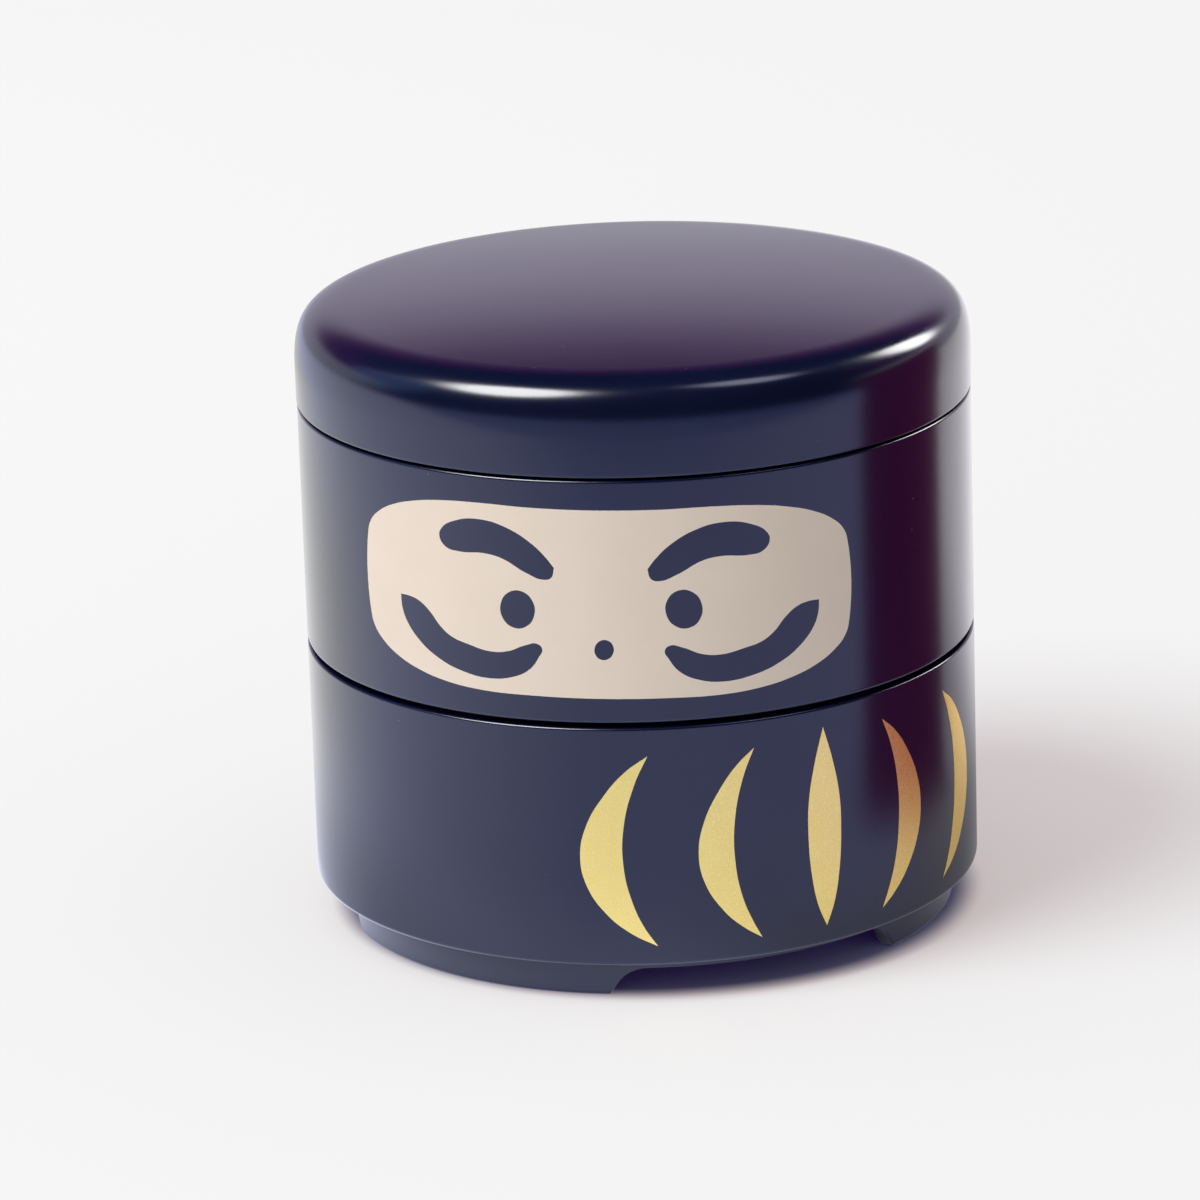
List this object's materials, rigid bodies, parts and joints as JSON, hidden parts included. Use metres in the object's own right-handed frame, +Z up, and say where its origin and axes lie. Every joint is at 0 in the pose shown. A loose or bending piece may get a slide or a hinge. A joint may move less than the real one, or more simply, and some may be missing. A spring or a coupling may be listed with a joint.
{
  "type": "stacking lacquer box",
  "caption": "Round stacking lacquer box with a domed lid, nested tiers on notched feet, sealed inner lids and a bowed divider.",
  "frame": {"origin": "centre of the base, on the surface that the feet stand on", "axes": "+Z up through the stack; -Y is the middle of the decorated front; +X is to the right seen from the front"},
  "size_m": [0.1102, 0.1102, 0.1049],
  "materials": {
    "lacquer": "satin near-black navy lacquer on moulded resin",
    "inner_lid": "milky moulded polypropylene",
    "seal": "pale silicone",
    "divider": "black moulded polypropylene",
    "face_print": "matt warm beige pad print on the lacquer",
    "belly_print": "gold flake paint pad printed on the lacquer"
  },
  "bodies": {
    "lower_tier": {"lower_tier": "lacquer"},
    "lower_inner_lid": {"lower_inner_lid": "inner_lid", "lower_gasket": "seal"},
    "upper_tier": {"upper_tier": "lacquer"},
    "divider": {"divider": "divider"},
    "upper_inner_lid": {"upper_inner_lid": "inner_lid", "upper_gasket": "seal"},
    "lid": {"lid": "lacquer"}
  },
  "joints": [
    {"name": "lower_inner_lid_lift", "type": "slide", "parent": "lower_tier", "child": "lower_inner_lid", "axis": [0, 0, 1], "range_m": [0, 0.03]},
    {"name": "upper_tier_lift", "type": "slide", "parent": "lower_inner_lid", "child": "upper_tier", "axis": [0, 0, 1], "range_m": [0, 0.03]},
    {"name": "divider_lift", "type": "slide", "parent": "upper_tier", "child": "divider", "axis": [0, 0, 1], "range_m": [0, 0.045]},
    {"name": "upper_inner_lid_lift", "type": "slide", "parent": "divider", "child": "upper_inner_lid", "axis": [0, 0, 1], "range_m": [0, 0.03]},
    {"name": "lid_lift", "type": "slide", "parent": "upper_inner_lid", "child": "lid", "axis": [0, 0, 1], "range_m": [0, 0.035]}
  ]
}
